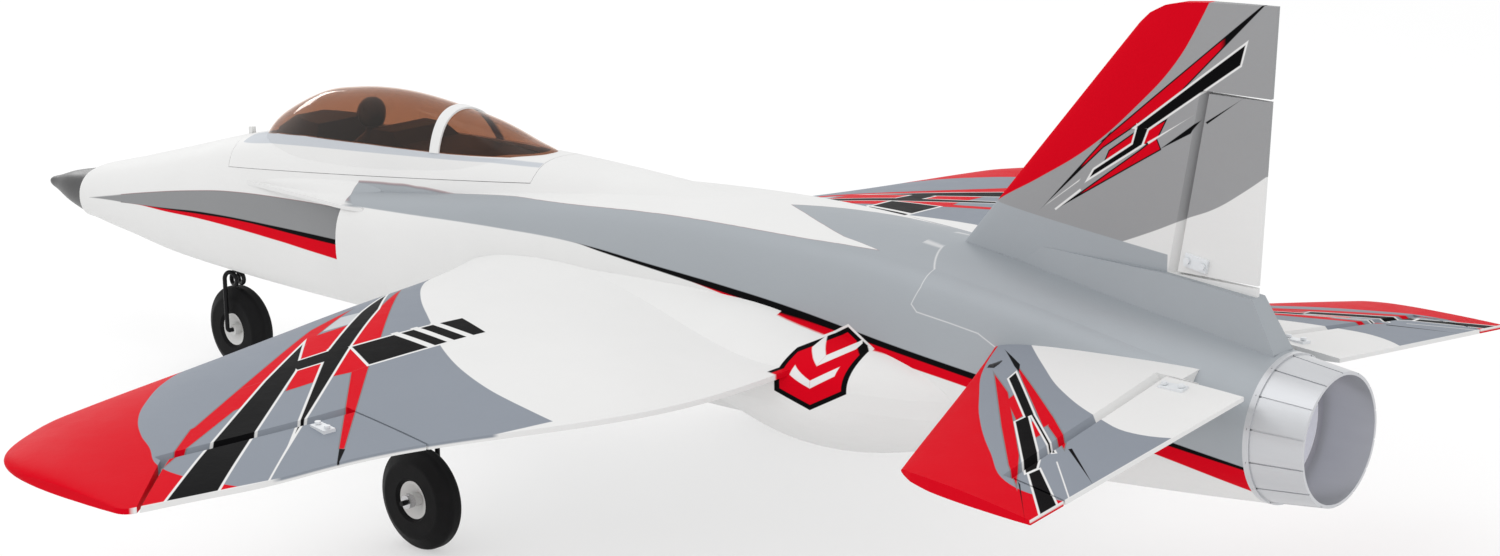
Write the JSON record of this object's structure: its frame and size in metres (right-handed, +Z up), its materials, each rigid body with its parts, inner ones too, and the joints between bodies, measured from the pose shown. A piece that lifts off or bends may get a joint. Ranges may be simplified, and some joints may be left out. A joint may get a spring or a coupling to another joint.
{
  "type": "rc jet plane",
  "caption": "Radio-controlled ducted-fan trainer jet with tricycle wire undercarriage, smoked canopy hatch, hinged control surfaces and servo linkages.",
  "frame": {"origin": "on the ground plane, on the symmetry plane, half way along the length", "axes": "+X towards the nose, +Y to the left wing tip, +Z up"},
  "size_m": [1.27, 1.035, 0.395],
  "materials": {
    "foam_black": "satin",
    "foam_white": "satin",
    "foam_silver": "satin",
    "foam_grey": "satin",
    "foam_red": "satin",
    "nozzle_plastic": "satin",
    "clear_film": "gloss",
    "black_plastic": "satin",
    "motor_can": "satin",
    "plywood": "matte",
    "battery_cells": "satin",
    "strap": "matte",
    "heat_shrink": "satin",
    "white_plastic": "satin",
    "smoked_glazing": "gloss",
    "cockpit_black": "matte",
    "pilot_plastic": "matte",
    "clear_plastic": "gloss",
    "wire": "satin",
    "carbon": "satin",
    "servo_case": "satin",
    "black_wire": "satin",
    "tyre": "matte",
    "hub_plastic": "satin",
    "collar_metal": "satin"
  },
  "bodies": {
    "airframe": {"nose_cone": "foam_black", "main_fuselage": "foam_white", "rear_fuselage": "foam_silver", "exhaust_nozzle": "nozzle_plastic", "exhaust_tube": "clear_film", "intake_ducts": "black_plastic", "fan_housing": "black_plastic", "fan_motor": "motor_can", "battery_tray": "plywood", "battery_pack": "battery_cells", "battery_straps": "strap", "speed_controller": "heat_shrink", "receiver": "white_plastic", "wing_left": "foam_grey", "wing_right": "foam_grey", "stabilizer_left": "foam_grey", "stabilizer_right": "foam_grey", "vertical_fin": "foam_red", "carbon_spars": "carbon", "control_servos": "servo_case", "gear_mounts": "black_plastic", "main_gear_struts": "black_wire", "wheel_collars": "collar_metal"},
    "hatch": {"hatch_frame": "foam_white", "canopy_glass": "smoked_glazing", "canopy_bow": "white_plastic", "cockpit_tub": "cockpit_black", "pilot_figure": "pilot_plastic"},
    "latch": {"hatch_latch": "white_plastic"},
    "rudder": {"rudder": "foam_grey", "rudder_horn": "clear_plastic"},
    "rudder_arm": {"rudder_servo_arm": "white_plastic"},
    "rudder_rod": {"rudder_pushrod": "wire"},
    "steering": {"nose_strut": "black_wire", "nose_wheel_collar": "collar_metal"},
    "steering_arm": {"steering_servo_arm": "white_plastic"},
    "steering_rod": {"steering_pushrod": "wire"},
    "nose_wheel": {"nose_tyre": "tyre", "nose_hub": "hub_plastic"},
    "fan": {"fan_rotor": "black_plastic"},
    "aileron_left": {"aileron_left": "foam_grey", "aileron_horn_left": "clear_plastic"},
    "aileron_arm_left": {"aileron_servo_arm_left": "white_plastic"},
    "aileron_rod_left": {"aileron_pushrod_left": "wire"},
    "elevator_left": {"elevator_left": "foam_grey", "elevator_horn_left": "clear_plastic"},
    "elevator_arm_left": {"elevator_servo_arm_left": "white_plastic"},
    "elevator_rod_left": {"elevator_pushrod_left": "wire"},
    "main_wheel_left": {"main_tyre_left": "tyre", "main_hub_left": "hub_plastic"},
    "aileron_right": {"aileron_right": "foam_grey", "aileron_horn_right": "clear_plastic"},
    "aileron_arm_right": {"aileron_servo_arm_right": "white_plastic"},
    "aileron_rod_right": {"aileron_pushrod_right": "wire"},
    "elevator_right": {"elevator_right": "foam_grey", "elevator_horn_right": "clear_plastic"},
    "elevator_arm_right": {"elevator_servo_arm_right": "white_plastic"},
    "elevator_rod_right": {"elevator_pushrod_right": "wire"},
    "main_wheel_right": {"main_tyre_right": "tyre", "main_hub_right": "hub_plastic"}
  },
  "joints": [
    {"name": "aileron_left_hinge", "type": "hinge", "parent": "airframe", "child": "aileron_left", "pos_m": [-0.164, 0.334, 0.13874], "axis": [0.1707, 0.9851, -0.02], "range_deg": [-20, 20]},
    {"name": "aileron_arm_left_turn", "type": "hinge", "parent": "airframe", "child": "aileron_arm_left", "pos_m": [-0.08528, 0.35496, 0.14282], "axis": [0.1707, 0.9851, -0.02], "range_deg": [-20, 20]},
    {"name": "aileron_rod_left_turn", "type": "hinge", "parent": "aileron_arm_left", "child": "aileron_rod_left", "pos_m": [-0.08528, 0.35468, 0.12882], "axis": [0.1707, 0.9851, -0.02], "range_deg": [-20, 20]},
    {"name": "aileron_right_hinge", "type": "hinge", "parent": "airframe", "child": "aileron_right", "pos_m": [-0.164, -0.334, 0.13874], "axis": [-0.1707, 0.9851, 0.02], "range_deg": [-20, 20]},
    {"name": "aileron_arm_right_turn", "type": "hinge", "parent": "airframe", "child": "aileron_arm_right", "pos_m": [-0.08528, -0.35496, 0.14282], "axis": [-0.1707, 0.9851, 0.02], "range_deg": [-20, 20]},
    {"name": "aileron_rod_right_turn", "type": "hinge", "parent": "aileron_arm_right", "child": "aileron_rod_right", "pos_m": [-0.08528, -0.35468, 0.12882], "axis": [-0.1707, 0.9851, 0.02], "range_deg": [-20, 20]},
    {"name": "elevator_left_hinge", "type": "hinge", "parent": "airframe", "child": "elevator_left", "pos_m": [-0.549, 0.054, 0.17564], "axis": [-0.0801, 0.9916, -0.102], "range_deg": [-18, 18]},
    {"name": "elevator_arm_left_turn", "type": "hinge", "parent": "airframe", "child": "elevator_arm_left", "pos_m": [-0.48433, 0.07314, 0.17367], "axis": [-0.0801, 0.9916, -0.102], "range_deg": [-18, 18]},
    {"name": "elevator_rod_left_turn", "type": "hinge", "parent": "elevator_arm_left", "child": "elevator_rod_left", "pos_m": [-0.48433, 0.07171, 0.15975], "axis": [-0.0801, 0.9916, -0.102], "range_deg": [-18, 18]},
    {"name": "elevator_right_hinge", "type": "hinge", "parent": "airframe", "child": "elevator_right", "pos_m": [-0.549, -0.054, 0.17564], "axis": [0.0801, 0.9916, 0.102], "range_deg": [-18, 18]},
    {"name": "elevator_arm_right_turn", "type": "hinge", "parent": "airframe", "child": "elevator_arm_right", "pos_m": [-0.48433, -0.07314, 0.17367], "axis": [0.0801, 0.9916, 0.102], "range_deg": [-18, 18]},
    {"name": "elevator_rod_right_turn", "type": "hinge", "parent": "elevator_arm_right", "child": "elevator_rod_right", "pos_m": [-0.48433, -0.07171, 0.15975], "axis": [0.0801, 0.9916, 0.102], "range_deg": [-18, 18]},
    {"name": "rudder_hinge", "type": "hinge", "parent": "airframe", "child": "rudder", "pos_m": [-0.521, -0.0024, 0.23], "axis": [-0.1687, 0.0044, 0.9857], "range_deg": [-22, 22]},
    {"name": "rudder_arm_turn", "type": "hinge", "parent": "airframe", "child": "rudder_arm", "pos_m": [-0.46602, -0.0023, 0.2526], "axis": [-0.1687, 0.0044, 0.9857], "range_deg": [-22, 22]},
    {"name": "rudder_rod_turn", "type": "hinge", "parent": "rudder_arm", "child": "rudder_rod", "pos_m": [-0.46602, -0.0163, 0.25266], "axis": [-0.1687, 0.0044, 0.9857], "range_deg": [-22, 22]},
    {"name": "nose_steering", "type": "hinge", "parent": "airframe", "child": "steering", "pos_m": [0.383, 0, 0.116], "axis": [0, 0, 1], "range_deg": [-22, 22]},
    {"name": "steering_arm_turn", "type": "hinge", "parent": "airframe", "child": "steering_arm", "pos_m": [0.321, 0, 0.116], "axis": [0, 0, 1], "range_deg": [-22, 22]},
    {"name": "steering_rod_turn", "type": "hinge", "parent": "steering_arm", "child": "steering_rod", "pos_m": [0.321, 0.014, 0.116], "axis": [0, 0, 1], "range_deg": [-22, 22]},
    {"name": "nose_wheel_spin", "type": "hinge", "parent": "steering", "child": "nose_wheel", "pos_m": [0.383, 0, 0.0347], "axis": [0, 1, 0], "continuous": true},
    {"name": "main_wheel_left_spin", "type": "hinge", "parent": "airframe", "child": "main_wheel_left", "pos_m": [-0.052, 0.1915, 0.0352], "axis": [0, 1, 0], "continuous": true},
    {"name": "main_wheel_right_spin", "type": "hinge", "parent": "airframe", "child": "main_wheel_right", "pos_m": [-0.052, -0.1915, 0.0352], "axis": [0, 1, 0], "continuous": true},
    {"name": "fan_spin", "type": "hinge", "parent": "airframe", "child": "fan", "pos_m": [-0.235, 0, 0.1485], "axis": [1, 0, 0], "continuous": true},
    {"name": "hatch_lift", "type": "slide", "parent": "airframe", "child": "hatch", "axis": [0, 0, 1], "range_m": [0, 0.09]},
    {"name": "latch_slide", "type": "slide", "parent": "airframe", "child": "latch", "axis": [1, 0, 0], "range_m": [0, 0.005]}
  ],
  "couplings": [
    {"joint": "aileron_arm_left_turn", "follows": "aileron_left_hinge", "ratio": 1},
    {"joint": "aileron_rod_left_turn", "follows": "aileron_left_hinge", "ratio": -1},
    {"joint": "aileron_right_hinge", "follows": "aileron_left_hinge", "ratio": -1},
    {"joint": "aileron_arm_right_turn", "follows": "aileron_left_hinge", "ratio": -1},
    {"joint": "aileron_rod_right_turn", "follows": "aileron_left_hinge", "ratio": 1},
    {"joint": "elevator_arm_left_turn", "follows": "elevator_left_hinge", "ratio": 1},
    {"joint": "elevator_rod_left_turn", "follows": "elevator_left_hinge", "ratio": -1},
    {"joint": "elevator_right_hinge", "follows": "elevator_left_hinge", "ratio": 1},
    {"joint": "elevator_arm_right_turn", "follows": "elevator_left_hinge", "ratio": 1},
    {"joint": "elevator_rod_right_turn", "follows": "elevator_left_hinge", "ratio": -1},
    {"joint": "rudder_arm_turn", "follows": "rudder_hinge", "ratio": 1},
    {"joint": "rudder_rod_turn", "follows": "rudder_hinge", "ratio": -1},
    {"joint": "nose_steering", "follows": "rudder_hinge", "ratio": -1},
    {"joint": "steering_arm_turn", "follows": "rudder_hinge", "ratio": -1},
    {"joint": "steering_rod_turn", "follows": "rudder_hinge", "ratio": 1}
  ]
}
